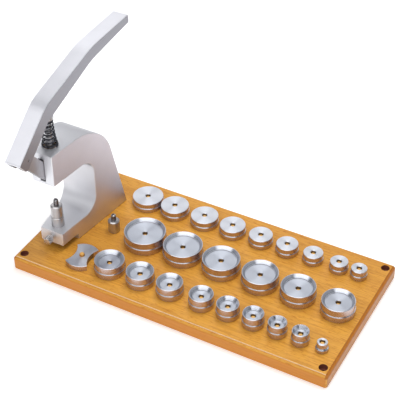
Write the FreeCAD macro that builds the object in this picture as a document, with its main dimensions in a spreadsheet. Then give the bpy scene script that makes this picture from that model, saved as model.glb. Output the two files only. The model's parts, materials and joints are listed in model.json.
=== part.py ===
"""Watch case press on a wooden board, with its set of turned dies.

Millimetres, +Z up. The origin is the centre of the board's underside, +X runs along the
board towards the small dies, and +Y points to the back, the way the press's throat opens
from the front. The press parts are drawn about the ram's axis, from the board's top face.
"""
import FreeCAD, Part
import math
import os
import Sketcher

DOC = FreeCAD.newDocument("watch_case_press")
SHEET = DOC.addObject("Spreadsheet::Sheet", "sizes")

# ---------------------------------------------------------------- driving dimensions
BOARD = {
    "board_length": 400, "board_width": 198, "board_thick": 18, "board_corner": 3.4,
    "board_step_in": 3, "board_step_high": 1.4, "board_round": 3, "board_foot_round": 1.2,
    "screw_span_long": 381, "screw_span_wide": 176,
    "screw_hole_dia": 5, "screw_head_dia": 10, "screw_head_deep": 6,
}
DIE = {
    "die_bore_dia": 6, "die_bore_break": 0.5, "die_step_out": 0.7, "die_edge": 0.35,
    "die_ledge": 0.9, "rim_land": 0.7, "wall_step": 0.5, "floor_dish": 0.35,
    "flat_high": 12.2, "large_high": 17, "deep_high": 16.5,
    "large_deep": 3.5, "deep_deep": 4, "large_slope": 3.2, "deep_slope_share": 0.125,
    "flat_row": 61, "large_row": -3, "deep_row": -65,
    "peg_dia": 5.4, "peg_above": 9.8, "peg_below": 10, "peg_break": 0.6,
    "stepped_high": 12, "stepped_neck": 11.8, "stepped_foot": 14.4, "stepped_ledge": 1.8,
    "saddle_dia": 40.5, "saddle_high": 7, "saddle_scoop": 24.5, "saddle_waist": 18,
    "saddle_turn": 5,
}
# each row from the press side outwards: distance of the axis from the middle, rim diameter
FLAT_DIES = ((-110.0, 37.4), (-72.3, 34.1), (-31.3, 33.1), (6.6, 30.7), (43.9, 28.1),
             (78.2, 25.9), (111.3, 23.1), (143.7, 21.0), (168.4, 18.4))
LARGE_DIES = ((-76.4, 49.4), (-25.4, 46.3), (24.7, 44.0), (74.5, 42.2), (121.8, 39.9),
              (170.1, 38.0))
DEEP_DIES = ((-87.0, 35.1), (-46.4, 32.2), (-7.8, 30.5), (32.4, 27.8), (65.5, 25.4),
             (96.7, 23.8), (125.7, 21.0), (153.1, 19.0))
SADDLE_DIE_AT = -124.8
STEPPED_DIE_AT = 178.6
FRAME = {
    "ram_axis_x": -167, "ram_axis_y": -49,
    "anvil_front": 14, "anvil_top": 25.5, "relief_high": 8, "foot_front": 13.4,
    "foot_back": 103.4, "head_front": 19, "head_top": 140, "head_under": 99,
    "throat_back": 48.3, "throat_round": 21, "back_top": 68.5, "back_round": 60,
    "frame_front_wide": 29.3, "frame_back_wide": 60, "frame_edge": 0.6,
    "slot_wide": 7, "slot_low": 102, "slot_high": 132.5, "slot_back": 10, "slot_edge": 0.5,
    "foot_bolt_near": 32, "foot_bolt_far": 82, "bolt_dia": 6, "bolt_grip": 16,
    "bolt_hole_dia": 6.6, "bolt_head_dia": 10, "bolt_head_high": 6, "bolt_key": 5,
    "bolt_key_deep": 3, "bolt_pocket_dia": 16, "bolt_pocket_deep": 9,
    "washer_dia": 14, "washer_thick": 1.2,
}
LEVERAGE = {
    "pivot_y": -52, "pivot_z": 155.8, "pivot_pin_dia": 4, "pivot_bore_dia": 4.08,
    "arm_thick": 6.6, "arm_wide": 16.5, "arm_lean": 49.6, "arm_gap": 0.2,
    "dowel_dia": 4, "dowel_y": -14, "dowel_low": 107, "dowel_high": 118, "dowel_blind": 9,
    "dowel_long": 20,
    "lever_wide": 20, "lever_bend": 45, "lever_shoulder": 100, "lever_under_bend": 10, "lever_heel_round": 5,
    "lever_tip_round": 1.6, "lever_edge": 0.5, "fork_wide": 7, "fork_over": 0.6,
    "fork_back": 13.4,
}
# lever outline about the pivot: distance to the back, height
LEVER_CORNERS = {
    "heel_top": (-16.5, 1.7), "bend_top": (40.2, 47.3), "shoulder_top": (132, 70.4),
    "tip_top": (210, 72), "tip_under": (210.5, 61.7), "shoulder_under": (130, 54.2),
    "bend_under": (41, 25.7), "heel_under": (-4.9, -13.1),
}
PLUNGER = {
    "bush_dia": 16, "bush_bore": 12.08, "ram_dia": 12, "ram_foot_dia": 16, "ram_foot_high": 7.9,
    "ram_foot_low": 91, "ram_neck_dia": 8.6, "neck_top": 176, "spigot_dia": 6,
    "spigot_high": 3.4, "ram_socket_deep": 15, "ram_break": 0.8,
    "cap_dia": 14, "cap_apex": 184.1, "cap_dome": 8,
    "grub_dia": 3, "grub_long": 3.6, "grub_high": 95,
    "spring_wire": 1.8, "spring_base": 20, "spring_top": 13.2, "spring_turns": 8,
    "spring_gap": 0.05,
}
ANVIL = {
    "post_dia": 15, "post_bore": 15.08, "post_top": 38.5, "post_low": 10, "post_break": 0.5,
    "holder_dia": 14, "holder_high": 16.5, "holder_break": 1.4, "shank_dia": 8,
    "shank_long": 8.5, "shank_bore": 8.1, "shank_bore_deep": 9.5,
    "stud_dia": 5.96, "stud_long": 8, "stud_round": 1.5, "stud_core": 2.2, "stud_slit": 0.8,
    "stud_slit_deep": 7, "store_x": -120, "store_y": -2.5,
    "screw_z": 17, "screw_dia": 5, "screw_bore": 5.08, "screw_tip": 7.8, "screw_long": 9.4,
    "knob_dia": 9.6, "knob_long": 8, "knob_edge": 0.8, "flute_dia": 1.5, "flutes": 14,
}


def fill_sheet(groups):
    """Write every driving dimension to the sheet, one row each, with its alias."""
    row = 0
    for group in groups:
        for alias, value in group.items():
            row += 1
            SHEET.set("A%d" % row, alias)
            SHEET.set("B%d" % row, str(value))
            SHEET.setAlias("B%d" % row, alias)
    DOC.recompute()


def paired(prefix, dies):
    """Aliases for the place and rim diameter of each die of a row."""
    cells = {}
    for number, (place, diameter) in enumerate(dies, 1):
        cells["%s_%d_at" % (prefix, number)] = place
        cells["%s_%d_dia" % (prefix, number)] = diameter
    return cells


def outline_cells():
    """Aliases for the lever's outline."""
    cells = {}
    for corner, (back, high) in LEVER_CORNERS.items():
        cells[corner + "_back"] = back
        cells[corner + "_up"] = high
    return cells


fill_sheet((BOARD, DIE, paired("flat_die", FLAT_DIES), paired("large_die", LARGE_DIES),
            paired("deep_die", DEEP_DIES), {"saddle_at": SADDLE_DIE_AT},
            {"stepped_at": STEPPED_DIE_AT}, FRAME, LEVERAGE, outline_cells(), PLUNGER, ANVIL))


# ---------------------------------------------------------------- drawing helpers
def sized(text):
    """Turn a short formula of aliases into one that reads them from the sheet."""
    words = []
    for word in text.split():
        is_alias = word.replace("_", "").isalnum() and word[0].isalpha() and "_" in word
        words.append("sizes." + word if is_alias else word)
    return " ".join(words)


def put(thing, across="0", along="0", up="0"):
    """Bind the place of a body or primitive to the sheet."""
    for axis, text in zip("xyz", (across, along, up)):
        thing.setExpression("Placement.Base." + axis, sized(text))


def new_body(label, across="0", along="0", up="0"):
    body = DOC.addObject("PartDesign::Body", label)
    body.Label = label
    put(body, across, along, up)
    return body


def press_body(label, along="ram_axis_y", up="board_thick"):
    """A body drawn about the ram's axis, from the board's top face."""
    return new_body(label, "ram_axis_x", along, up)


def sketch_on(body, role, offset="0"):
    """A sketch on one of the body's own origin planes, moved along its normal."""
    sketch = body.newObject("Sketcher::SketchObject", body.Name + "_outline")
    for plane in body.Origin.OriginFeatures:
        if plane.Role == role:
            sketch.AttachmentSupport = (plane, [""])
    sketch.MapMode = "FlatFace"
    sketch.setExpression("AttachmentOffset.Base.z", sized(offset))
    return sketch


def bind_point(sketch, geometry, place, corner, rough):
    """Hold one point of the sketch at a pair of formulas."""
    for kind, text, value in zip(("DistanceX", "DistanceY"), corner, rough):
        rule = Sketcher.Constraint(kind, -1, 1, geometry, place, value)
        number = sketch.addConstraint(rule)
        sketch.setExpression("Constraints[%d]" % number, sized(text))


def polygon(sketch, corners):
    """A closed outline of straight lines through corners given as pairs of formulas."""
    first = sketch.GeometryCount
    count = len(corners)
    rough = []
    for turn in range(count):
        angle = 2 * math.pi * turn / count
        rough.append(FreeCAD.Vector(20 + 9 * math.cos(angle), 20 + 9 * math.sin(angle), 0))
    for turn in range(count):
        sketch.addGeometry(Part.LineSegment(rough[turn], rough[(turn + 1) % count]), False)
    for turn in range(count):
        following = first + (turn + 1) % count
        sketch.addConstraint(Sketcher.Constraint("Coincident", first + turn, 2, following, 1))
    for turn, corner in enumerate(corners):
        bind_point(sketch, first + turn, 1, corner, (rough[turn].x, rough[turn].y))


def mirrored(corners):
    """The same corners on the other side of the sketch's vertical axis."""
    return [("- ( %s )" % across, up) for across, up in corners]


def rectangle(sketch, low, high):
    polygon(sketch, (low, (high[0], low[1]), high, (low[0], high[1])))


def circle(sketch, diameter, across="0", up="0"):
    geometry = sketch.addGeometry(
        Part.Circle(FreeCAD.Vector(1, 1, 0), FreeCAD.Vector(0, 0, 1), 2), False)
    bind_point(sketch, geometry, 3, (across, up), (1, 1))
    number = sketch.addConstraint(Sketcher.Constraint("Diameter", geometry, 4))
    sketch.setExpression("Constraints[%d]" % number, sized(diameter))


def extrude(body, kind, sketch, length=None, both=False, reverse=False):
    """A Pad or Pocket of a sketch, through everything when no length is given."""
    feature = body.newObject("PartDesign::" + kind, body.Name + "_" + kind.lower())
    feature.Profile = sketch
    feature.Reversed = reverse
    if both:
        feature.SideType = "Symmetric"
    if length is None:
        feature.Type = "ThroughAll"
    else:
        feature.setExpression("Length", sized(length))
    body.Tip = feature
    DOC.recompute()
    return feature


def pad(body, sketch, length, both=False, reverse=False):
    return extrude(body, "Pad", sketch, length, both, reverse)


def cut(body, sketch, length=None, both=False, reverse=False):
    """A Pocket that has to take something away."""
    before = body.Shape.Volume
    feature = extrude(body, "Pocket", sketch, length, both, reverse)
    if body.Shape.Volume > before - 0.01:
        raise RuntimeError("a pocket of %s cuts nothing" % body.Label)
    return feature


def turn(body, corners):
    """A piece turned about its own vertical axis from half of its section."""
    sketch = sketch_on(body, "XZ_Plane")
    polygon(sketch, corners)
    feature = body.newObject("PartDesign::Revolution", body.Name + "_turned")
    feature.Profile = sketch
    feature.ReferenceAxis = (sketch, ["V_Axis"])
    feature.Angle = 360
    body.Tip = feature
    DOC.recompute()
    return feature


def dress(body, kind, size, chosen):
    """A Fillet or Chamfer of the edges for which chosen is true."""
    base = body.Tip
    names = ["Edge%d" % number for number, edge in enumerate(base.Shape.Edges, 1) if chosen(edge)]
    if not names:
        raise RuntimeError("no edge to dress on %s" % body.Label)
    feature = body.newObject("PartDesign::" + kind, body.Name + "_" + kind.lower())
    feature.Base = (base, names)
    feature.setExpression("Radius" if kind == "Fillet" else "Size", sized(size))
    body.Tip = feature
    DOC.recompute()
    return feature


def near(first, second):
    return abs(first - second) < 1e-4


def read(alias):
    return float(getattr(SHEET, alias))


def lies_at(edge, **place):
    """True when the whole edge lies at the given x, y or z."""
    box = edge.BoundBox
    spans = {"x": (box.XMin, box.XMax), "y": (box.YMin, box.YMax), "z": (box.ZMin, box.ZMax)}
    for axis, value in place.items():
        low, high = spans[axis]
        if not near(low, value) or not near(high, value):
            return False
    return True


def is_circle(edge, diameter):
    return hasattr(edge.Curve, "Radius") and near(edge.Curve.Radius, diameter / 2)


# ---------------------------------------------------------------- board and pegs
def die_places():
    """The place of every peg, as pairs of formulas."""
    places = []
    for prefix, row, dies in (("flat_die", "flat_row", FLAT_DIES),
                              ("large_die", "large_row", LARGE_DIES),
                              ("deep_die", "deep_row", DEEP_DIES)):
        for number in range(1, len(dies) + 1):
            places.append(("%s_%d_at" % (prefix, number), row))
    places.append(("saddle_at", "deep_row"))
    places.append(("stepped_at", "deep_row"))
    return places


def foot_bolt_places():
    return [("ram_axis_x", "ram_axis_y + " + away) for away in ("foot_bolt_near", "foot_bolt_far")]


def make_board():
    body = new_body("wooden_board")
    edge = sketch_on(body, "XY_Plane")
    rectangle(edge, ("- board_length / 2", "- board_width / 2"),
              ("board_length / 2", "board_width / 2"))
    pad(body, edge, "board_thick - board_step_high")
    dress(body, "Fillet", "board_corner", lambda edge: lies_at(
        edge, x=edge.BoundBox.XMin, y=edge.BoundBox.YMin))
    shoulder = read("board_thick") - read("board_step_high")
    dress(body, "Fillet", "board_round", lambda edge: lies_at(edge, z=shoulder))
    dress(body, "Fillet", "board_foot_round", lambda edge: lies_at(edge, z=0))
    top = sketch_on(body, "XY_Plane", "board_thick - board_step_high")
    rectangle(top, ("- board_length / 2 + board_step_in", "- board_width / 2 + board_step_in"),
              ("board_length / 2 - board_step_in", "board_width / 2 - board_step_in"))
    pad(body, top, "board_step_high")
    corners = []
    for side in ("-", ""):
        for end in ("-", ""):
            corners.append((end + " screw_span_long / 2", side + " screw_span_wide / 2"))
    drilled = (("screw_hole_dia", corners, "board_thick", None),
               ("screw_head_dia", corners, "board_thick", "screw_head_deep"),
               ("peg_dia", die_places(), "board_thick", "peg_below"),
               ("shank_bore", [("store_x", "store_y")], "board_thick", "shank_bore_deep"),
               ("bolt_hole_dia", foot_bolt_places(), "board_thick", None))
    for diameter, places, level, depth in drilled:
        holes = sketch_on(body, "XY_Plane", level)
        for across, along in places:
            circle(holes, diameter, across, along)
        cut(body, holes, depth)
    pockets = sketch_on(body, "XY_Plane")
    for across, along in foot_bolt_places():
        circle(pockets, "bolt_pocket_dia", across, along)
    cut(body, pockets, "bolt_pocket_deep", reverse=True)
    return body


def make_pegs():
    """Wooden pegs that stand in the board, one under each die."""
    body = new_body("die_pegs")
    body.AllowCompound = True
    feet = sketch_on(body, "XY_Plane", "board_thick - peg_below")
    for across, along in die_places():
        circle(feet, "peg_dia", across, along)
    pad(body, feet, "peg_below + peg_above")
    top = read("board_thick") + read("peg_above")
    dress(body, "Chamfer", "peg_break", lambda edge: lies_at(edge, z=top))
    return body


# ---------------------------------------------------------------- dies
def die_side(rim, high):
    """The outside of a die from its bore at the bottom up to the rim's outer edge."""
    foot = rim + " / 2 + die_step_out"
    return [("die_bore_dia / 2 + die_bore_break", "0"), (foot + " - die_edge", "0"),
            (foot, "die_edge"), (foot, high + " / 2 - die_ledge"), (rim + " / 2", high + " / 2"),
            (rim + " / 2", high + " - die_edge"), (rim + " / 2 - die_edge", high)]


def bore_side(level):
    """The bore of a die from the given level down to the bottom."""
    return [("die_bore_dia / 2 + die_bore_break", level),
            ("die_bore_dia / 2", level + " - die_bore_break"),
            ("die_bore_dia / 2", "die_bore_break")]


def make_flat_die(number):
    rim = "flat_die_%d_dia" % number
    body = new_body("flat_die_%d" % number, "flat_die_%d_at" % number, "flat_row", "board_thick")
    turn(body, die_side(rim, "flat_high") + bore_side("flat_high"))
    return body


def make_recessed_die(kind, number, high, deep, slope):
    """A die whose face is turned out, with a sloping wall, a step and a dished floor."""
    rim = "%s_die_%d_dia" % (kind, number)
    body = new_body("%s_die_%d" % (kind, number), "%s_die_%d_at" % (kind, number),
                    kind + "_row", "board_thick")
    lip = rim + " / 2 - rim_land"
    floor = high + " - " + deep
    toe = lip + " - " + slope
    recess = [(lip, high), (toe, floor + " + wall_step"),
              (toe + " - wall_step", floor + " + wall_step"), (toe + " - wall_step", floor)]
    turn(body, die_side(rim, high) + recess + bore_side(floor + " - floor_dish"))
    return body


def make_stepped_die():
    """The smallest die, a neck on a wider foot."""
    body = new_body("stepped_die", "stepped_at", "deep_row", "board_thick")
    turn(body, [("die_bore_dia / 2 + die_bore_break", "0"),
                ("stepped_foot / 2 - die_edge", "0"), ("stepped_foot / 2", "die_edge"),
                ("stepped_foot / 2", "stepped_high / 2 - stepped_ledge"),
                ("stepped_neck / 2", "stepped_high / 2"),
                ("stepped_neck / 2", "stepped_high - die_edge"),
                ("stepped_neck / 2 - die_edge", "stepped_high")] + bore_side("stepped_high"))
    return body


def make_saddle_die():
    """A flat disc with a round scoop out of each side."""
    body = new_body("saddle_die", "saddle_at", "deep_row", "board_thick")
    body.setExpression("Placement.Rotation.Angle", "sizes.saddle_turn")
    turn(body, [("die_bore_dia / 2", "0"), ("saddle_dia / 2", "0"),
                ("saddle_dia / 2", "saddle_high - die_edge"),
                ("saddle_dia / 2 - die_edge", "saddle_high"),
                ("die_bore_dia / 2 + die_bore_break", "saddle_high"),
                ("die_bore_dia / 2", "saddle_high - die_bore_break")])
    scoops = sketch_on(body, "XY_Plane")
    for side in ("-", ""):
        circle(scoops, "2 * saddle_scoop", side + " ( saddle_waist / 2 + saddle_scoop )", "0")
    cut(body, scoops, "saddle_high", reverse=True)
    return body


# ---------------------------------------------------------------- press frame
def make_frame():
    body = press_body("press_frame")
    side = sketch_on(body, "YZ_Plane")
    polygon(side, (("- anvil_front", "relief_high"), ("foot_front", "relief_high"),
                   ("foot_front", "0"), ("foot_back", "0"), ("back_top", "head_top"),
                   ("- head_front", "head_top"), ("- head_front", "head_under"),
                   ("throat_back", "head_under"), ("throat_back", "anvil_top"),
                   ("- anvil_front", "anvil_top")))
    pad(body, side, "frame_back_wide", both=True)
    dress(body, "Fillet", "back_round", lambda edge: lies_at(
        edge, y=read("back_top"), z=read("head_top")))
    throat = (read("head_under"), read("anvil_top"))
    dress(body, "Fillet", "throat_round", lambda edge: any(
        lies_at(edge, y=read("throat_back"), z=level) for level in throat))
    wedge = [("frame_front_wide / 2", "- head_front"), ("frame_back_wide", "- head_front"),
             ("frame_back_wide", "foot_back"), ("frame_back_wide / 2", "foot_back")]
    taper = sketch_on(body, "XY_Plane")
    polygon(taper, wedge)
    polygon(taper, mirrored(wedge))
    cut(body, taper, reverse=True)
    dress(body, "Chamfer", "frame_edge", is_outer_edge)
    slot = sketch_on(body, "XZ_Plane", "slot_back")
    rectangle(slot, ("- slot_wide / 2", "slot_low"), ("slot_wide / 2", "slot_high"))
    cut(body, slot, reverse=True)
    dress(body, "Chamfer", "slot_edge", lambda edge: in_slot_mouth(edge))
    drill_frame(body)
    return body


def is_outer_edge(edge):
    """The edges round the two side faces."""
    middle = edge.BoundBox.Center
    side = read("frame_front_wide") / 2 - 0.1
    return abs(middle.x) > side


def in_slot_mouth(edge):
    half = read("slot_wide") / 2
    box = edge.BoundBox
    inside = box.XMax < half + 0.01 and box.XMin > -half - 0.01
    return lies_at(edge, y=-read("head_front")) and inside


def drill_frame(body):
    """The bores for the bush, the post, the thumb screw, the dowels and the foot bolts."""
    bush = sketch_on(body, "XY_Plane", "head_under - 1")
    circle(bush, "bush_dia")
    cut(body, bush, reverse=True)
    post = sketch_on(body, "XY_Plane", "anvil_top + 1")
    circle(post, "post_bore")
    cut(body, post)
    clamp = sketch_on(body, "XZ_Plane")
    circle(clamp, "screw_bore", "0", "screw_z")
    cut(body, clamp, "head_front + 1", reverse=True)
    dowels = sketch_on(body, "YZ_Plane", "dowel_blind")
    for level in ("dowel_low", "dowel_high"):
        circle(dowels, "dowel_dia", "dowel_y", level)
    cut(body, dowels)
    bolts = sketch_on(body, "XY_Plane")
    for away in ("foot_bolt_near", "foot_bolt_far"):
        circle(bolts, "bolt_dia", "0", away)
    cut(body, bolts, "bolt_grip", reverse=True)


def make_foot_bolts():
    """Socket head screws from under the board into the frame's foot."""
    body = press_body("foot_bolts")
    body.AllowCompound = True
    seat = "- board_thick + bolt_pocket_deep - washer_thick"
    spots = ("foot_bolt_near", "foot_bolt_far")
    heads = sketch_on(body, "XY_Plane", seat)
    for away in spots:
        circle(heads, "bolt_head_dia", "0", away)
    pad(body, heads, "bolt_head_high", reverse=True)
    shanks = sketch_on(body, "XY_Plane", seat)
    for away in spots:
        circle(shanks, "bolt_dia", "0", away)
    pad(body, shanks, "board_thick - bolt_pocket_deep + washer_thick + bolt_grip - 1")
    keys = sketch_on(body, "XY_Plane", seat + " - bolt_head_high")
    for away in spots:
        hexagon(keys, "bolt_key", away)
    cut(body, keys, "bolt_key_deep", reverse=True)
    return body


def hexagon(sketch, across_flats, away):
    corners = []
    for side in range(6):
        angle = math.radians(60 * side)
        corners.append(("%s * %.6f" % (across_flats, math.cos(angle) / math.sqrt(3)),
                        "%s + %s * %.6f" % (away, across_flats, math.sin(angle) / math.sqrt(3))))
    polygon(sketch, corners)


def make_foot_washers():
    body = press_body("foot_washers")
    body.AllowCompound = True
    rings = sketch_on(body, "XY_Plane", "- board_thick + bolt_pocket_deep - washer_thick")
    for away in ("foot_bolt_near", "foot_bolt_far"):
        circle(rings, "washer_dia", "0", away)
        circle(rings, "bolt_hole_dia", "0", away)
    pad(body, rings, "washer_thick")
    return body


# ---------------------------------------------------------------- pivot arm and lever
def make_arm():
    """The flat plate that carries the lever's pin in front of the head."""
    body = press_body("pivot_arm")
    run, drop = "cos( arm_lean * 1deg )", "sin( arm_lean * 1deg )"
    over = ("pivot_y + arm_wide / 2 * %s" % drop, "pivot_z + arm_wide / 2 * %s" % run)
    under = ("pivot_y - arm_wide / 2 * %s" % drop, "pivot_z - arm_wide / 2 * %s" % run)
    low = "slot_low + arm_gap"
    back = "- slot_back - arm_gap"
    fall = "( %s ) / ( %s )" % (drop, run)
    side = sketch_on(body, "YZ_Plane")
    polygon(side, (under,
                   ("%s + ( %s - ( %s ) ) / ( %s )" % (under[0], under[1], low, fall), low),
                   (back, low),
                   (back, "%s - ( %s - ( %s ) ) * ( %s )" % (over[1], back, over[0], fall)),
                   over))
    pad(body, side, "arm_thick", both=True)
    nose = sketch_on(body, "YZ_Plane")
    circle(nose, "arm_wide", "pivot_y", "pivot_z")
    pad(body, nose, "arm_thick", both=True)
    for diameter, spots in (("pivot_bore_dia", (("pivot_y", "pivot_z"),)),
                            ("dowel_dia", (("dowel_y", "dowel_low"),
                                           ("dowel_y", "dowel_high")))):
        holes = sketch_on(body, "YZ_Plane")
        for along, up in spots:
            circle(holes, diameter, along, up)
        cut(body, holes, "2 * arm_thick", both=True)
    return body


def make_dowels():
    """Two dowels pressed in from the left cheek, blind in the right one."""
    body = press_body("arm_dowels")
    body.AllowCompound = True
    ends = sketch_on(body, "YZ_Plane", "dowel_blind - 0.5")
    for level in ("dowel_low", "dowel_high"):
        circle(ends, "dowel_dia", "dowel_y", level)
    pad(body, ends, "dowel_long", reverse=True)
    return body


def lever_body(label):
    """A body drawn about the lever's pivot."""
    return press_body(label, "ram_axis_y + pivot_y", "board_thick + pivot_z")


def make_lever():
    body = lever_body("lever")
    side = sketch_on(body, "YZ_Plane")
    polygon(side, [(name + "_back", name + "_up") for name in LEVER_CORNERS])
    pad(body, side, "lever_wide", both=True)
    rounds = (("lever_bend", ("bend_top",)), ("lever_shoulder", ("shoulder_top", "shoulder_under")),
              ("lever_under_bend", ("bend_under",)), ("lever_heel_round", ("heel_under",)),
              ("lever_tip_round", ("tip_top", "tip_under", "heel_top")))
    for radius, names in rounds:
        spots = [LEVER_CORNERS[name] for name in names]
        dress(body, "Fillet", radius, lambda edge: any(
            lies_at(edge, y=back, z=up) for back, up in spots))
    half = read("lever_wide") / 2
    dress(body, "Chamfer", "lever_edge", lambda edge: lies_at(edge, x=half) or lies_at(edge, x=-half))
    fork = sketch_on(body, "YZ_Plane")
    polygon(fork, fork_corners())
    cut(body, fork, "fork_wide", both=True)
    pin = sketch_on(body, "YZ_Plane")
    circle(pin, "pivot_pin_dia")
    cut(body, pin, "2 * lever_wide", both=True)
    return body


def fork_corners():
    """The milled gap for the arm, open at the heel and on the underside.

    It is drawn square to the underside, from the pivot: back along it and up from it.
    """
    rise = "( bend_under_up - heel_under_up )"
    run = "( bend_under_back - heel_under_back )"
    long = "sqrt( %s ^ 2 + %s ^ 2 )" % (rise, run)
    roof = "( arm_wide / 2 + fork_over )"
    corners = []
    for along, up in (("- lever_wide", "- lever_wide"), ("fork_back", "- lever_wide"),
                      ("fork_back", roof), ("- lever_wide", roof)):
        corners.append(("( %s * %s - %s * %s ) / %s" % (along, run, up, rise, long),
                        "( %s * %s + %s * %s ) / %s" % (along, rise, up, run, long)))
    return corners


def make_pivot_pin():
    body = lever_body("pivot_pin")
    end = sketch_on(body, "YZ_Plane")
    circle(end, "pivot_pin_dia")
    pad(body, end, "lever_wide - lever_edge", both=True)
    return body


# ---------------------------------------------------------------- ram, cap and spring
def make_bush():
    body = press_body("guide_bush")
    turn(body, (("bush_bore / 2", "head_under"), ("bush_dia / 2", "head_under"),
                ("bush_dia / 2", "head_top"), ("bush_bore / 2", "head_top")))
    return body


def make_ram():
    body = press_body("ram")
    shoulder = "ram_foot_low + ram_foot_high"
    turn(body, (("shank_dia / 2", "ram_foot_low"),
                ("ram_foot_dia / 2 - ram_break", "ram_foot_low"),
                ("ram_foot_dia / 2", "ram_foot_low + ram_break"),
                ("ram_foot_dia / 2", shoulder), ("ram_dia / 2", shoulder),
                ("ram_dia / 2", "head_top - ram_break"), ("ram_neck_dia / 2", "head_top"),
                ("ram_neck_dia / 2", "neck_top"), ("spigot_dia / 2", "neck_top"),
                ("spigot_dia / 2", "neck_top + spigot_high"), ("0", "neck_top + spigot_high"),
                ("0", "ram_foot_low + ram_socket_deep"),
                ("shank_dia / 2", "ram_foot_low + ram_socket_deep")))
    grub = sketch_on(body, "XZ_Plane")
    circle(grub, "grub_dia", "0", "grub_high")
    cut(body, grub, "ram_foot_dia", reverse=True)
    return body


def make_grub():
    """The set screw that holds a die holder in the ram's socket."""
    body = press_body("ram_set_screw")
    end = sketch_on(body, "XZ_Plane", "shank_dia / 2 + 0.2")
    circle(end, "grub_dia", "0", "grub_high")
    pad(body, end, "grub_long")
    return body


def make_cap():
    """The domed button that the lever pushes on."""
    body = press_body("ram_cap")
    turn(body, (("spigot_dia / 2", "neck_top"), ("cap_dia / 2", "neck_top"),
                ("cap_dia / 2", "cap_apex"), ("0", "cap_apex"),
                ("0", "neck_top + spigot_high"), ("spigot_dia / 2", "neck_top + spigot_high")))
    shape = body.newObject("Sketcher::SketchObject", "dome_outline")
    for plane in body.Origin.OriginFeatures:
        if plane.Role == "XZ_Plane":
            shape.AttachmentSupport = (plane, [""])
    shape.MapMode = "FlatFace"
    dome_section(shape)
    feature = body.newObject("PartDesign::Groove", "dome")
    feature.Profile = shape
    feature.ReferenceAxis = (shape, ["V_Axis"])
    feature.Angle = 360
    body.Tip = feature
    DOC.recompute()
    return body


def dome_section(sketch):
    """What is turned away from the cap to leave a dome: outside an arc about a low centre."""
    rim = read("cap_dia") / 2 + 1
    dome = read("cap_dome")
    apex = read("cap_apex")
    centre = FreeCAD.Vector(0, apex - dome, 0)
    low = apex - dome + math.sqrt(dome ** 2 - rim ** 2 + 1e-9)
    top = FreeCAD.Vector(0, apex, 0)
    side = FreeCAD.Vector(rim, low, 0)
    arc = Part.ArcOfCircle(Part.Circle(centre, FreeCAD.Vector(0, 0, 1), dome),
                           math.atan2(low - centre.y, rim), math.pi / 2)
    sketch.addGeometry(arc, False)
    high = FreeCAD.Vector(0, apex + 2, 0)
    corner = FreeCAD.Vector(rim, apex + 2, 0)
    for start, end in ((top, high), (high, corner), (corner, side)):
        sketch.addGeometry(Part.LineSegment(start, end), False)


def make_spring():
    """The return spring, a round wire wound wide on the head and narrow under the cap."""
    base_radius = "( spring_base - spring_wire ) / 2"
    height = "( neck_top - head_top - spring_wire - 2 * spring_gap )"
    base = "board_thick + head_top + spring_wire / 2 + spring_gap"
    coil = DOC.addObject("Part::Helix", "spring_coil")
    coil.SegmentLength = 0.25
    coil.setExpression("Radius", sized(base_radius))
    coil.setExpression("Height", sized(height))
    coil.setExpression("Pitch", sized(height + " / spring_turns"))
    coil.setExpression("Angle", sized("atan( ( spring_top - spring_base ) / 2 / %s )" % height))
    put(coil, "ram_axis_x", "ram_axis_y", base)
    wire = DOC.addObject("Part::Circle", "spring_section")
    wire.Placement.Rotation = FreeCAD.Rotation(FreeCAD.Vector(1, 0, 0), 90)
    wire.setExpression("Radius", sized("spring_wire / 2"))
    put(wire, "ram_axis_x + " + base_radius, "ram_axis_y", base)
    DOC.recompute()
    spring = DOC.addObject("Part::Sweep", "return_spring")
    spring.Label = "return_spring"
    spring.Sections = [wire]
    spring.Spine = (coil, ["Edge%d" % (number + 1) for number in range(len(coil.Shape.Edges))])
    spring.Solid = True
    spring.Frenet = True
    DOC.recompute()
    return spring


# ---------------------------------------------------------------- anvil post and holders
def make_post():
    body = press_body("anvil_post")
    turn(body, (("0", "post_low"), ("post_dia / 2 - post_break", "post_low"),
                ("post_dia / 2", "post_low + post_break"),
                ("post_dia / 2", "post_top - post_break"),
                ("post_dia / 2 - post_break", "post_top"), ("shank_bore / 2", "post_top"),
                ("shank_bore / 2", "post_top - shank_bore_deep"),
                ("0", "post_top - shank_bore_deep")))
    return body


def make_holder(label, across, along, up):
    """A die holder: a shank, a body and a split stud that springs into a die's bore."""
    body = new_body(label, across, along, up)
    stud_top = "holder_high + stud_long"
    turn(body, (("0", "- shank_long"), ("shank_dia / 2 - post_break", "- shank_long"),
                ("shank_dia / 2", "post_break - shank_long"), ("shank_dia / 2", "0"),
                ("holder_dia / 2 - post_break", "0"), ("holder_dia / 2", "post_break"),
                ("holder_dia / 2", "holder_high - holder_break"),
                ("holder_dia / 2 - holder_break", "holder_high"),
                ("stud_dia / 2", "holder_high"), ("stud_dia / 2", stud_top + " - stud_round"),
                ("stud_dia / 2 - 0.5 * stud_round", stud_top + " - 0.25 * stud_round"),
                ("stud_core / 2", stud_top),
                ("stud_core / 2", stud_top + " - stud_slit_deep"),
                ("0", stud_top + " - stud_slit_deep")))
    slits = sketch_on(body, "XY_Plane", "holder_high + stud_long - stud_slit_deep")
    arm = "stud_dia"
    half = "stud_slit / 2"
    polygon(slits, (("- " + half, "- " + arm), (half, "- " + arm), (half, "- " + half),
                    (arm, "- " + half), (arm, half), (half, half), (half, arm),
                    ("- " + half, arm), ("- " + half, half), ("- " + arm, half),
                    ("- " + arm, "- " + half), ("- " + half, "- " + half)))
    cut(body, slits, "stud_slit_deep + 1", reverse=True)
    return body


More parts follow.
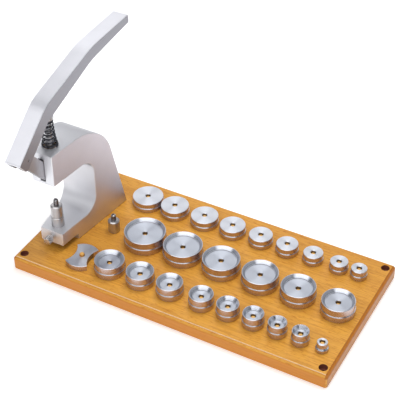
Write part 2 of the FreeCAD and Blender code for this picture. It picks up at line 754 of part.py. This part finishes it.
def make_thumb_screw():
    """The knurled screw in the anvil's front that clamps the post."""
    body = press_body("thumb_screw", "ram_axis_y", "board_thick + screw_z")
    shank = sketch_on(body, "XZ_Plane", "screw_tip")
    circle(shank, "screw_dia")
    pad(body, shank, "screw_long")
    knob = sketch_on(body, "XZ_Plane", "screw_tip + screw_long")
    circle(knob, "knob_dia")
    pad(body, knob, "knob_long")
    face = -read("screw_tip") - read("screw_long")
    ends = (face, face - read("knob_long"))
    dress(body, "Chamfer", "knob_edge", lambda edge: is_circle(edge, read("knob_dia")) and any(
        lies_at(edge, y=end) for end in ends))
    flutes = sketch_on(body, "XZ_Plane", "screw_tip + screw_long")
    for flute in range(int(read("flutes"))):
        angle = 2 * math.pi * flute / read("flutes")
        circle(flutes, "flute_dia", "knob_dia / 2 * %.6f" % math.cos(angle),
               "knob_dia / 2 * %.6f" % math.sin(angle))
    cut(body, flutes, "knob_long", reverse=True)
    return body


# ---------------------------------------------------------------- build, check and write
def build_all():
    pieces = [make_board(), make_pegs(), make_saddle_die(), make_stepped_die()]
    for number in range(1, len(FLAT_DIES) + 1):
        pieces.append(make_flat_die(number))
    for number in range(1, len(LARGE_DIES) + 1):
        pieces.append(make_recessed_die("large", number, "large_high", "large_deep",
                                        "large_slope"))
    for number in range(1, len(DEEP_DIES) + 1):
        share = "deep_die_%d_dia * deep_slope_share" % number
        pieces.append(make_recessed_die("deep", number, "deep_high", "deep_deep", share))
    pieces += [make_frame(), make_foot_bolts(), make_foot_washers(), make_arm(), make_dowels(),
               make_lever(), make_pivot_pin(), make_bush(), make_ram(), make_grub(), make_cap(),
               make_spring(), make_post(), make_thumb_screw()]
    pieces.append(make_holder("anvil_holder", "ram_axis_x", "ram_axis_y",
                              "board_thick + post_top"))
    pieces.append(make_holder("spare_holder", "store_x", "store_y", "board_thick"))
    return pieces


def check(pieces):
    """Stop when any object failed or any piece isn't a valid solid."""
    DOC.recompute()
    for thing in DOC.Objects:
        if "Invalid" in thing.State or "Error" in thing.State:
            raise RuntimeError("%s is %s" % (thing.Name, thing.State))
    for piece in pieces:
        if piece.Shape.isNull() or not piece.Shape.isValid() or not piece.Shape.Solids:
            raise RuntimeError("%s has no valid solid" % piece.Label)


def write(pieces):
    os.makedirs("parts", exist_ok=True)
    for piece in pieces:
        piece.Shape.exportStep("parts/%s.step" % piece.Label)
        box = piece.Shape.BoundBox
        print("%-16s %2d solids %9.1f mm3  z %.2f to %.2f" % (
            piece.Label, len(piece.Shape.Solids), piece.Shape.Volume, box.ZMin, box.ZMax))


PIECES = build_all()
check(PIECES)
write(PIECES)
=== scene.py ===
import json
import math

import bmesh
import bpy
from mathutils import Euler, Matrix, Vector


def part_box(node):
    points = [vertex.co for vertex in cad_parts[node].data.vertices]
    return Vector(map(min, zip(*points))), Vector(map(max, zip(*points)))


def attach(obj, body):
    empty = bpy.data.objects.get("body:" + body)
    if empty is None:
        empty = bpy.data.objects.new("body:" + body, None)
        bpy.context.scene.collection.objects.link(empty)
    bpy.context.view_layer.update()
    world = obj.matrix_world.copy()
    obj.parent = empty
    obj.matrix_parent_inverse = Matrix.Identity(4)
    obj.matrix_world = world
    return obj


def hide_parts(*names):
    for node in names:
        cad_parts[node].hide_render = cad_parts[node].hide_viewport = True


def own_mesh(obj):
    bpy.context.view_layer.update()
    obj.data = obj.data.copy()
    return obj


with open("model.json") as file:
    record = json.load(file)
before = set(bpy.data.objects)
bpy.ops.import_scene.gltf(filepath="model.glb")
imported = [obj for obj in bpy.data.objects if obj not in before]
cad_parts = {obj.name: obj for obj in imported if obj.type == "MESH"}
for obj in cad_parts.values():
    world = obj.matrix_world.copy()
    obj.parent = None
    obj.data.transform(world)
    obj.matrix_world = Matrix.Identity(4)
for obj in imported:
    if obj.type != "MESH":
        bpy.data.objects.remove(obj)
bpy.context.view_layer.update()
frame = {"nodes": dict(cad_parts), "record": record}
SLOT_OF = {node: thing.data.materials[0].name.split(".")[0]
           for node, thing in frame["nodes"].items()}

# ------------------------------------------------------------------ driving values, metres
_, BOARD_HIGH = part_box("wooden_board")
SPRING_LOW, SPRING_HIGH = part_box("return_spring")
# the dead turns at each end lie closed, a pitch of so many wires apart
SPRING = {"wire": 0.0018, "turns": 8, "dead_turns": 0.9, "dead_pitch": 1.02, "base_radius": 0.0091,
          "top_radius": 0.0057, "flare": 2.5, "steps_per_turn": 36, "sides": 10, "kept_height": 0.5}
BOARD_SCREWS = next(m for m in frame["record"]["mounts"] if m["name"] == "board_screws")
MM_PER_METRE = 1000
SCREW_HEAD_RADIUS = 0.0052
# painted shade inside the counterbored screw holes
POCKET_LOW = 0.0002     # how far under the board's top the dark of a screw hole starts

# Strips of painted light round the board's top, a painted shade band along its ends and a painted
# highlight along its long edges:
# how far in from its outer edge they start, how far down they reach, how softly they fade inwards and
# downwards, and how strongly they cover.
STRIP_IN = 0.003
# painted shade: a dark brown band along the top edges of the board's ends
END_SHADE_BAND = {"low": 0.0042, "soft_in": 0.0002, "soft_low": 0.0008, "cover": 0.75,
            "colour": (0.42, 0.12, 0.010)}
# painted highlight: a pale cream line along the board's long top edges
TOP_LIP_HIGHLIGHT = {"low": 0.0011, "soft_in": 0.0006, "soft_low": 0.0002, "cover": 0.8,
           "colour": (0.95, 0.76, 0.48)}

# ------------------------------------------------------------------ driving values, looks
# painted shade on the board's long sides
BOARD_SIDE_SHADE_COLOUR = (0.62, 0.20, 0.010)
# painted shade inside the screw holes
POCKET_SHADE_COLOUR = (0.22, 0.070, 0.045)
GRAIN_WANDER = 0.016    # how far the grain strays sideways, in metres, from end to end of its noise
NOISE_SPAN = (0.3, 0.7)  # the values that most of a noise lies between
CLOUD_COLOUR = (0.35, 0.35, 0.37)
# painted shade on the downward faces of the milled pieces
UNDERSIDE_SHADE_COLOUR = (0.06, 0.06, 0.07)
RING_COLOUR = (0.3, 0.3, 0.32)
# painted shade in the bores of the turned pieces
BORE_SHADE_COLOUR = (0.22, 0.20, 0.20)
# the painted shade of the bore covers the upright walls inside this radius
BORE_SHARE = 0.40       # of the piece's width: the dark bore's upright walls lie inside this radius
SIDE_RINGS = 0.6        # lines up a turned side, to one ring across its top
WEAR = 0.06             # how much rougher or smoother scuffs make ground metal
STAIN_TONE = 0.86       # a stain's share of the clean metal's colour

# ------------------------------------------------------------------ driving values, studio
CAMERA = {"place": (0.48213, -0.88705, 0.92250), "turn": 28.73, "down": 38.88, "roll": -0.30,
          "lens": 104.92, "sensor": 36.0, "far": 100}
MIDDLE = (0, 0, 0.05)
ROOM_COLOUR, ROOM_STRENGTH = (0.93, 0.95, 1.0), 0.32
PAPER_COLOUR, PAPER_GLOW, PAPER_REACH = (0.96, 0.96, 0.96), 0.27, 30.0
CARD_COLOUR, CARD_AWAY = (0.02, 0.02, 0.03), 2.2
MATT = 0.9
# place and size in metres, power in watts
SOFTBOXES = {
    "front_left": {"place": (0.08, -1.22, 1.60), "size": (3.0, 1.5), "power": 19},
    "back_left": {"place": (-0.95, 1.60, 1.55), "size": (1.9, 1.1), "power": 5.5},
    "overhead": {"place": (-0.05, 0.35, 1.8), "size": (1.5, 1.3), "power": 9.5},
    "back_right": {"place": (0.16, 0.50, 1.7), "size": (0.5, 0.5), "power": 8, "mirrored": False},
}
# turn in degrees from the camera's side of the model, the rest in metres
CARDS = {
    "left_card": {"turn": -95, "high": 0.6, "wide": 0.7, "tall": 1.6},
    "right_card": {"turn": 40, "high": 0.3, "wide": 0.7, "tall": 1.8},
}


# ------------------------------------------------------------------ material kit
class Finish:
    """A material in the making: one surface shader, and the nodes that feed it."""

    def __init__(self, name, colour, metallic=0.0, roughness=0.5):
        self.material = bpy.data.materials.new(name)
        self.material.use_nodes = True
        self.tree = self.material.node_tree
        self.shader = self.tree.nodes["Principled BSDF"]
        self.set("Base Color", (*colour, 1.0))
        self.set("Metallic", metallic)
        self.set("Roughness", roughness)
        self.place = self.node("TexCoord").outputs["Object"]
        self.unit_place = self.place.node.outputs["Generated"]

    def set(self, socket, value):
        """Give a shader input a constant, or link it to another node's output."""
        self.feed(self.shader.inputs[socket], value)

    def feed(self, socket, value):
        """Link an output to a socket, set a constant, or leave the socket alone for None."""
        if isinstance(value, bpy.types.NodeSocket):
            self.tree.links.new(value, socket)
        elif value is not None:
            socket.default_value = value

    def node(self, kind, **settings):
        """Add a shader node of that kind."""
        made = self.tree.nodes.new("ShaderNode" + kind)
        for name, value in settings.items():
            setattr(made, name, value)
        return made

    def calc(self, operation, first, second=None):
        """One arithmetic step on outputs or plain numbers."""
        made = self.node("Math", operation=operation)
        for socket, value in zip(made.inputs, (first, second)):
            self.feed(socket, value)
        return made.outputs[0]

    def parts(self, vector):
        """The X, Y and Z of a vector."""
        made = self.node("SeparateXYZ")
        self.feed(made.inputs[0], vector)
        return made.outputs

    def normal_along(self, axis):
        """The surface normal's part along a world axis (0, 1 or 2)."""
        return self.parts(self.node("NewGeometry").outputs["Normal"])[axis]

    def stretched(self, scale, vector=None):
        """Coordinates scaled by a different factor along each axis."""
        made = self.node("Mapping")
        self.feed(made.inputs["Vector"], vector or self.place)
        made.inputs["Scale"].default_value = scale
        return made.outputs[0]

    def noise(self, vector, scale=1.0, detail=3.0, roughness=0.5):
        """Cloudy noise, from 0 to 1."""
        made = self.node("TexNoise")
        for name, value in (("Vector", vector), ("Scale", scale), ("Detail", detail),
                            ("Roughness", roughness)):
            self.feed(made.inputs[name], value)
        return made.outputs["Fac"]

    def spread(self, value, low, high, to_low=0.0, to_high=1.0):
        """Map a value from one span to another, clamped."""
        made = self.node("MapRange", clamp=True)
        for name, given in (("Value", value), ("From Min", low), ("From Max", high),
                            ("To Min", to_low), ("To Max", to_high)):
            self.feed(made.inputs[name], given)
        return made.outputs[0]

    def blend(self, factor, first, second):
        """Mix two colours, each a constant triple or an output."""
        made = self.node("Mix", data_type="RGBA", blend_type="MIX")
        self.feed(made.inputs["Factor"], factor)
        for name, value in (("A", first), ("B", second)):
            socket = next(s for s in made.inputs if s.name == name and s.type == "RGBA")
            self.feed(socket, (*value, 1.0) if isinstance(value, tuple) else value)
        return next(s for s in made.outputs if s.type == "RGBA")

    def cover(self, mask, share, under, colour):
        """Lay a colour over another where a mask is 1, at a share of full strength."""
        return self.blend(self.calc("MULTIPLY", mask, share), under, colour)

    def between(self, factor, first, second):
        """Mix two plain numbers."""
        kept = self.calc("MULTIPLY", first, self.calc("SUBTRACT", 1.0, factor))
        return self.calc("ADD", kept, self.calc("MULTIPLY", second, factor))

    def bump(self, height, distance, strength=1.0):
        """Add a relief of that depth in metres over the relief already there."""
        made = self.node("Bump")
        made.inputs["Strength"].default_value = strength
        made.inputs["Distance"].default_value = distance
        self.feed(made.inputs["Height"], height)
        normal = self.shader.inputs["Normal"]
        if normal.links:
            self.feed(made.inputs["Normal"], normal.links[0].from_socket)
        self.feed(normal, made.outputs["Normal"])

    def facing(self, axis):
        """1 on faces whose normal lies along a world axis (0, 1 or 2), 0 on the others."""
        return self.spread(self.calc("ABSOLUTE", self.normal_along(axis)), 0.80, 0.95)


# ------------------------------------------------------------------ materials
def beech(name, light, dark, glaze):
    """Varnished beech with its grain along X, flecks and porous ends, painted shade on its long sides,
    along the top edges of its ends and in the screw pockets, and a painted highlight along its long top
    edges.
    """
    made = Finish(name, light, roughness=0.32)
    grain_place = wandering(made)

    def grain(along, across, detail, roughness=0.5):
        """Noise drawn out along X, with so many spots to the metre along and across."""
        place = made.stretched((along, across, across), grain_place)
        return made.noise(place, detail=detail, roughness=roughness)

    figure = grain(3.2, 42, detail=3, roughness=0.55)
    streaks = grain(16, 420, detail=4, roughness=0.6)
    fibres = grain(60, 1900, detail=3, roughness=0.6)
    flecks = grain(140, 1200, detail=1)

    body = made.blend(made.spread(figure, 0.30, 0.60, to_low=0.35), dark, light)
    streaked = made.blend(made.spread(streaks, 0.44, 0.68, to_high=0.70), body, dark)
    fibred = made.blend(made.spread(fibres, 0.45, 0.75, to_high=0.35), streaked, light)
    flecked = made.blend(made.spread(flecks, 0.60, 0.68, to_high=0.65), fibred, glaze)

    pores = made.noise(made.stretched((400, 900, 1400)), detail=2)
    porous = made.blend(made.spread(pores, 0.40, 0.70), glaze, dark)
    ended = made.cover(made.facing(0), 0.75, flecked, porous)
    # painted shade on the board's long sides, the faces that look along Y
    side_shaded = made.cover(made.facing(1), 0.72, ended, BOARD_SIDE_SHADE_COLOUR)
    # a painted highlight along the board's long top edges
    lip_highlighted = made.cover(strip(made, 1, TOP_LIP_HIGHLIGHT), TOP_LIP_HIGHLIGHT["cover"], side_shaded, TOP_LIP_HIGHLIGHT["colour"])
    # painted shade along the top edges of the board's ends
    end_shaded = made.cover(strip(made, 0, END_SHADE_BAND), END_SHADE_BAND["cover"], lip_highlighted, END_SHADE_BAND["colour"])

    # painted shade inside the screw holes
    made.set("Base Color", made.blend(screw_pocket_shade(made), end_shaded, POCKET_SHADE_COLOUR))
    made.set("Roughness", made.spread(fibres, 0.35, 0.7, 0.36, 0.52))
    made.set("Specular IOR Level", 0.32)
    made.set("Coat Weight", 0.14)
    made.set("Coat Roughness", 0.22)
    made.bump(streaks, 0.00012, 0.35)
    made.bump(fibres, 0.00006, 0.35)
    return made.material


def wandering(made):
    """Coordinates pushed a little sideways, so that lines along X waver."""
    wander = made.noise(made.stretched((5, 14, 14)), detail=2)
    across = made.calc("MULTIPLY", made.calc("SUBTRACT", wander, 0.5), GRAIN_WANDER)
    offset = made.node("CombineXYZ")
    made.feed(offset.inputs[1], across)
    made.feed(offset.inputs[2], across)
    bent = made.node("VectorMath", operation="ADD")
    made.feed(bent.inputs[0], made.place)
    made.feed(bent.inputs[1], offset.outputs[0])
    return bent.outputs[0]


def strip(made, axis, look):
    """1 along the two edges of the board's top that lie across X (0) or Y (1), 0 elsewhere."""
    place = made.parts(made.place)
    edge = BOARD_HIGH[axis] - STRIP_IN
    foot = BOARD_HIGH.z - look["low"]
    beyond = made.spread(made.calc("ABSOLUTE", place[axis]), edge - look["soft_in"], edge)
    above = made.spread(place[2], foot - look["soft_low"], foot)
    return made.calc("MULTIPLY", beyond, above)


def screw_pocket_shade(made):
    """1 inside the counterbored screw holes at the board's ends, where shade is painted, 0 elsewhere."""
    span = BOARD_SCREWS["dims"]
    half_long = span["spacing_x_mm"] / MM_PER_METRE / 2
    half_wide = span["spacing_y_mm"] / MM_PER_METRE / 2
    x, y, z = made.parts(made.place)
    from_long = made.calc("SUBTRACT", made.calc("ABSOLUTE", x), half_long)
    from_wide = made.calc("SUBTRACT", made.calc("ABSOLUTE", y), half_wide)
    squares = made.calc("ADD", made.calc("POWER", from_long, 2), made.calc("POWER", from_wide, 2))
    near = made.calc("LESS_THAN", squares, SCREW_HEAD_RADIUS ** 2)
    return made.calc("MULTIPLY", near, made.calc("LESS_THAN", z, BOARD_HIGH.z - POCKET_LOW))


def milled(name, edge_colour, flank_colour, edge_roughness, flank_roughness):
    """Satin aluminium: blasted side faces, edges milled with lines along X, and painted shade on faces
    that look down.
    """
    made = Finish(name, edge_colour, metallic=1.0)
    flank = made.facing(0)
    edge = made.calc("SUBTRACT", 1.0, flank)
    grit = made.noise(made.place, scale=2600, detail=2)
    cloud = made.noise(made.place, scale=28, detail=4)
    lines = made.noise(made.stretched((14, 1500, 1500)), detail=3, roughness=0.6)
    satin = made.spread(grit, *NOISE_SPAN, flank_roughness - 0.05, flank_roughness + 0.07)
    cut = made.spread(lines, *NOISE_SPAN, edge_roughness - 0.05, edge_roughness + 0.07)
    made.set("Roughness", made.between(flank, cut, satin))
    tone = made.blend(flank, edge_colour, flank_colour)
    clouded = made.blend(made.spread(cloud, *NOISE_SPAN, to_high=0.10), tone, CLOUD_COLOUR)
    # painted shade: faces that look down are darkened towards the underside colour
    down = made.calc("MULTIPLY", made.normal_along(2), -1.0)
    under = made.spread(down, 0.35, 0.65, to_high=0.75)
    made.set("Base Color", made.blend(under, clouded, UNDERSIDE_SHADE_COLOUR))
    made.bump(made.calc("MULTIPLY", grit, flank), 0.00003, 0.35)
    made.bump(made.calc("MULTIPLY", lines, edge), 0.00003, 0.35)
    return made.material


def turned(name, colour, recess_colour, side_colour, roughness, side_roughness, anisotropy, rings):
    """Lathe-turned metal: rings about the piece's upright axis, lines round its side, painted shade in
    the bore and on the recess floor.

    The recess colour is painted shade on what faces up below the rim.
    """
    made = Finish(name, colour, metallic=1.0)
    x, y, z = made.parts(made.unit_place)
    squares = [made.calc("POWER", made.calc("SUBTRACT", side, 0.5), 2) for side in (x, y)]
    radius = made.calc("SQRT", made.calc("ADD", *squares))
    level = made.facing(2)
    upright = made.calc("SUBTRACT", 1.0, level)
    up_the_side = made.calc("MULTIPLY", z, rings * SIDE_RINGS)
    across_the_top = made.calc("MULTIPLY", radius, rings)
    ring = made.node("TexNoise", noise_dimensions="1D")
    made.feed(ring.inputs["W"], made.between(level, up_the_side, across_the_top))
    ring.inputs["Scale"].default_value = 2.0
    ring.inputs["Detail"].default_value = 4.0
    lines = ring.outputs["Fac"]

    tilt = made.calc("ABSOLUTE", made.normal_along(2))
    side = made.spread(tilt, 0.30, 0.12)
    # painted shade on the bore's upright walls
    bore = made.calc("MULTIPLY", side, made.spread(radius, BORE_SHARE, BORE_SHARE - 0.01))
    # painted shade on the recess floor, below the top of the rim
    recess_shaded = made.blend(made.spread(z, 0.80, 0.94), recess_colour, colour)
    sided = made.blend(side, recess_shaded, side_colour)
    bore_shaded = made.blend(bore, sided, BORE_SHADE_COLOUR)
    made.set("Base Color", made.blend(made.spread(lines, *NOISE_SPAN, to_high=0.12), bore_shaded, RING_COLOUR))

    flat_finish = made.spread(lines, *NOISE_SPAN, roughness - 0.03, roughness + 0.05)
    side_finish = made.spread(lines, *NOISE_SPAN, side_roughness - 0.05, side_roughness + 0.05)
    made.set("Roughness", made.between(made.spread(tilt, 0.6, 0.9), side_finish, flat_finish))
    made.set("Anisotropic", anisotropy)
    made.set("Anisotropic Rotation", 0.25)
    made.set("Tangent", made.node("Tangent", direction_type="RADIAL", axis="Z").outputs[0])
    made.bump(made.calc("MULTIPLY", lines, upright), 0.00002, 0.2)
    made.bump(made.calc("MULTIPLY", lines, level), 0.00004, 0.25)
    return made.material


def ground(name, colour, roughness):
    """Plain ground or plated metal with fine scuffs and faint stains."""
    made = Finish(name, colour, metallic=1.0, roughness=roughness)
    scuffs = made.noise(made.stretched((900, 900, 2600)), detail=4, roughness=0.65)
    stains = made.noise(made.place, scale=160, detail=3)
    smoothest = max(roughness - WEAR, 0.04)
    made.set("Roughness", made.spread(scuffs, 0.3, 0.75, smoothest, roughness + WEAR))
    stained = tuple(c * STAIN_TONE for c in colour)
    made.set("Base Color", made.blend(made.spread(stains, 0.35, 0.7), stained, colour))
    made.bump(scuffs, 0.00003, 0.25)
    return made.material


# one finish for each material slot of the CAD, in the order the materials are made
LOOKS = {
    "varnished_beech": (beech, {"light": (0.77, 0.37, 0.050), "dark": (0.50, 0.195, 0.020),
                                "glaze": (0.44, 0.120, 0.005)}),
    "peg_wood": (beech, {"light": (0.85, 0.50, 0.15), "dark": (0.70, 0.34, 0.07),
                         "glaze": (0.55, 0.22, 0.03)}),
    "frame_aluminium": (milled, {"edge_colour": (0.88, 0.88, 0.91), "edge_roughness": 0.56,
                                 "flank_colour": (0.76, 0.74, 0.80), "flank_roughness": 0.52}),
    "lever_aluminium": (milled, {"edge_colour": (0.92, 0.92, 0.965), "edge_roughness": 0.40,
                                 "flank_colour": (0.32, 0.315, 0.345), "flank_roughness": 0.40}),
    "arm_aluminium": (milled, {"edge_colour": (0.52, 0.51, 0.53), "edge_roughness": 0.34,
                               "flank_colour": (0.44, 0.43, 0.45), "flank_roughness": 0.34}),
    "die_aluminium": (turned, {"colour": (0.80, 0.82, 0.88), "recess_colour": (0.61, 0.64, 0.71),
                               "side_colour": (0.60, 0.50, 0.48), "roughness": 0.34,
                               "side_roughness": 0.26, "anisotropy": 0.85, "rings": 70.0}),
    "ram_steel": (ground, {"colour": (0.50, 0.50, 0.52), "roughness": 0.34}),
    "holder_steel": (turned, {"colour": (0.62, 0.60, 0.60), "recess_colour": (0.62, 0.60, 0.60),
                              "side_colour": (0.52, 0.50, 0.50), "roughness": 0.30,
                              "side_roughness": 0.36, "anisotropy": 0.4, "rings": 30.0}),
    "screw_steel": (ground, {"colour": (0.30, 0.30, 0.32), "roughness": 0.28}),
    "spring_steel": (ground, {"colour": (0.075, 0.075, 0.09), "roughness": 0.24}),
    "thumb_screw_metal": (ground, {"colour": (0.66, 0.63, 0.62), "roughness": 0.26}),
    "bush_bronze": (ground, {"colour": (0.26, 0.19, 0.13), "roughness": 0.30}),
}
FINISHES = {name: make(name, **look) for name, (make, look) in LOOKS.items()}

# pieces that look different from the rest of their slot
OWN_FINISH = {"pivot_pin": "screw_steel"}


def dress(frame_nodes):
    """Give every CAD node the finish of its slot, or its own."""
    for node, thing in frame_nodes.items():
        for place in thing.material_slots:
            place.material = FINISHES[OWN_FINISH.get(node, SLOT_OF[node])]


# ------------------------------------------------------------------ return spring
def spring_radius(share):
    """Coil radius at a share of the height: flared at the base, straight near the top."""
    flare = (1 - share) ** SPRING["flare"]
    return SPRING["top_radius"] + (SPRING["base_radius"] - SPRING["top_radius"]) * flare


def spring_rise(turn):
    """Share of the height reached after so many turns, with closed end turns."""
    live = SPRING["turns"] - 2 * SPRING["dead_turns"]
    return min(max((turn - SPRING["dead_turns"]) / live, 0.0), 1.0)


def coil_points(axis, low, high):
    """Centreline of the wire, bottom to top."""
    count = round(SPRING["turns"] * SPRING["steps_per_turn"])
    half_wire = SPRING["wire"] / 2
    stack = SPRING["wire"] * SPRING["dead_pitch"] * SPRING["dead_turns"]
    span = high - low - 2 * half_wire - 2 * stack
    points = []
    for step in range(count + 1):
        turn = SPRING["turns"] * step / count
        angle = math.tau * turn
        dead_low = min(turn / SPRING["dead_turns"], 1.0) * stack
        dead_high = max((turn - SPRING["turns"]) / SPRING["dead_turns"] + 1, 0.0) * stack
        height = low + half_wire + dead_low + dead_high + span * spring_rise(turn)
        radius = spring_radius((height - low) / (high - low))
        points.append(Vector((axis.x + radius * math.cos(angle),
                              axis.y + radius * math.sin(angle), height)))
    return points


def swept_wire(name, points, radius, sides):
    """A round wire along points, capped at both ends."""
    mesh = bmesh.new()
    rings = []
    for here, point in enumerate(points):
        before = points[max(here - 1, 0)]
        after = points[min(here + 1, len(points) - 1)]
        along = (after - before).normalized()
        side = along.cross(Vector((0, 0, 1))).normalized()
        up = side.cross(along)
        ring = [mesh.verts.new(point + radius * (math.cos(a) * side + math.sin(a) * up))
                for a in (math.tau * k / sides for k in range(sides))]
        rings.append(ring)
    for lower, upper in zip(rings, rings[1:]):
        for k in range(sides):
            mesh.faces.new((lower[k], lower[(k + 1) % sides], upper[(k + 1) % sides], upper[k]))
    mesh.faces.new(rings[0][::-1])
    mesh.faces.new(rings[-1])
    bmesh.ops.recalc_face_normals(mesh, faces=mesh.faces)
    data = bpy.data.meshes.new(name)
    mesh.to_mesh(data)
    mesh.free()
    for face in data.polygons:
        face.use_smooth = len(face.vertices) == 4
    return add_to_scene(name, data)


def make_spring():
    """Return spring between the head and the ram's cap, flared at its base."""
    ram_low, ram_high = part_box("ram")
    axis = Vector(((ram_low.x + ram_high.x) / 2, (ram_low.y + ram_high.y) / 2, 0))
    points = coil_points(axis, SPRING_LOW.z, SPRING_HIGH.z)
    spring = swept_wire("flared_spring", points, SPRING["wire"] / 2, SPRING["sides"])
    spring.data.materials.append(FINISHES["spring_steel"])
    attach(spring, "root")
    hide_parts("return_spring")
    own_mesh(spring)


# ------------------------------------------------------------------ studio
def add_to_scene(name, data):
    """A new object with that mesh, light or camera."""
    thing = bpy.data.objects.new(name, data)
    bpy.context.scene.collection.objects.link(thing)
    return thing


def flat_panel(name, corners):
    """One four-cornered face."""
    data = bpy.data.meshes.new(name)
    data.from_pydata(corners, [], [(0, 1, 2, 3)])
    return add_to_scene(name, data)


def make_floor():
    """Seamless pale floor that glows a little."""
    floor = flat_panel("floor", [(-PAPER_REACH, -PAPER_REACH, 0), (PAPER_REACH, -PAPER_REACH, 0),
                                 (PAPER_REACH, PAPER_REACH, 0), (-PAPER_REACH, PAPER_REACH, 0)])
    paper = Finish("studio_paper", PAPER_COLOUR, roughness=MATT)
    paper.set("Emission Color", (1, 1, 1, 1))
    paper.set("Emission Strength", PAPER_GLOW)
    floor.data.materials.append(paper.material)


def softbox(name, place, size, power, mirrored=True):
    """A soft rectangular light aimed at the model, seen in the metal's reflections or not."""
    light = bpy.data.lights.new(name, "AREA")
    light.shape = "RECTANGLE"
    light.size, light.size_y = size
    light.energy = power
    thing = add_to_scene(name, light)
    thing.location = place
    thing.rotation_euler = (Vector(MIDDLE) - Vector(place)).to_track_quat("-Z", "Y").to_euler()
    thing.visible_camera = False
    thing.visible_glossy = mirrored


def make_card(name, turn, high, wide, tall):
    """A dark card at the edge of the studio, seen only in the metal's reflections."""
    angle = math.radians(CAMERA["turn"] - 90 + turn)
    foot = Vector((math.cos(angle) * CARD_AWAY, math.sin(angle) * CARD_AWAY, high))
    across = Vector((-math.sin(angle), math.cos(angle), 0)) * wide / 2
    rise = Vector((0, 0, tall))
    card = flat_panel(name, [foot - across, foot + across, foot + across + rise, foot - across + rise])
    card.data.materials.append(Finish(name, CARD_COLOUR, roughness=MATT).material)
    card.visible_camera = False
    card.visible_diffuse = False
    card.visible_shadow = False


def light_studio():
    """Even room light, four soft lights, one of them not mirrored, and two dark cards."""
    world = bpy.data.worlds.new("room")
    world.use_nodes = True
    background = world.node_tree.nodes["Background"]
    background.inputs["Color"].default_value = (*ROOM_COLOUR, 1)
    background.inputs["Strength"].default_value = ROOM_STRENGTH
    bpy.context.scene.world = world
    bpy.context.scene.view_settings.view_transform = "Standard"
    for name, box in SOFTBOXES.items():
        softbox(name, **box)
    for name, card in CARDS.items():
        make_card(name, **card)


def make_camera():
    """The photograph's camera, solved from the board's corners."""
    data = bpy.data.cameras.new("camera")
    data.sensor_width = CAMERA["sensor"]
    data.lens = CAMERA["lens"]
    data.clip_end = CAMERA["far"]
    camera = add_to_scene("camera", data)
    camera.location = CAMERA["place"]
    aim = Euler((math.radians(90 - CAMERA["down"]), 0, math.radians(CAMERA["turn"]))).to_matrix()
    camera.rotation_euler = (aim @ Matrix.Rotation(math.radians(CAMERA["roll"]), 3, "Z")).to_euler()
    bpy.context.scene.camera = camera


dress(frame["nodes"])
make_spring()
make_floor()
light_studio()
make_camera()
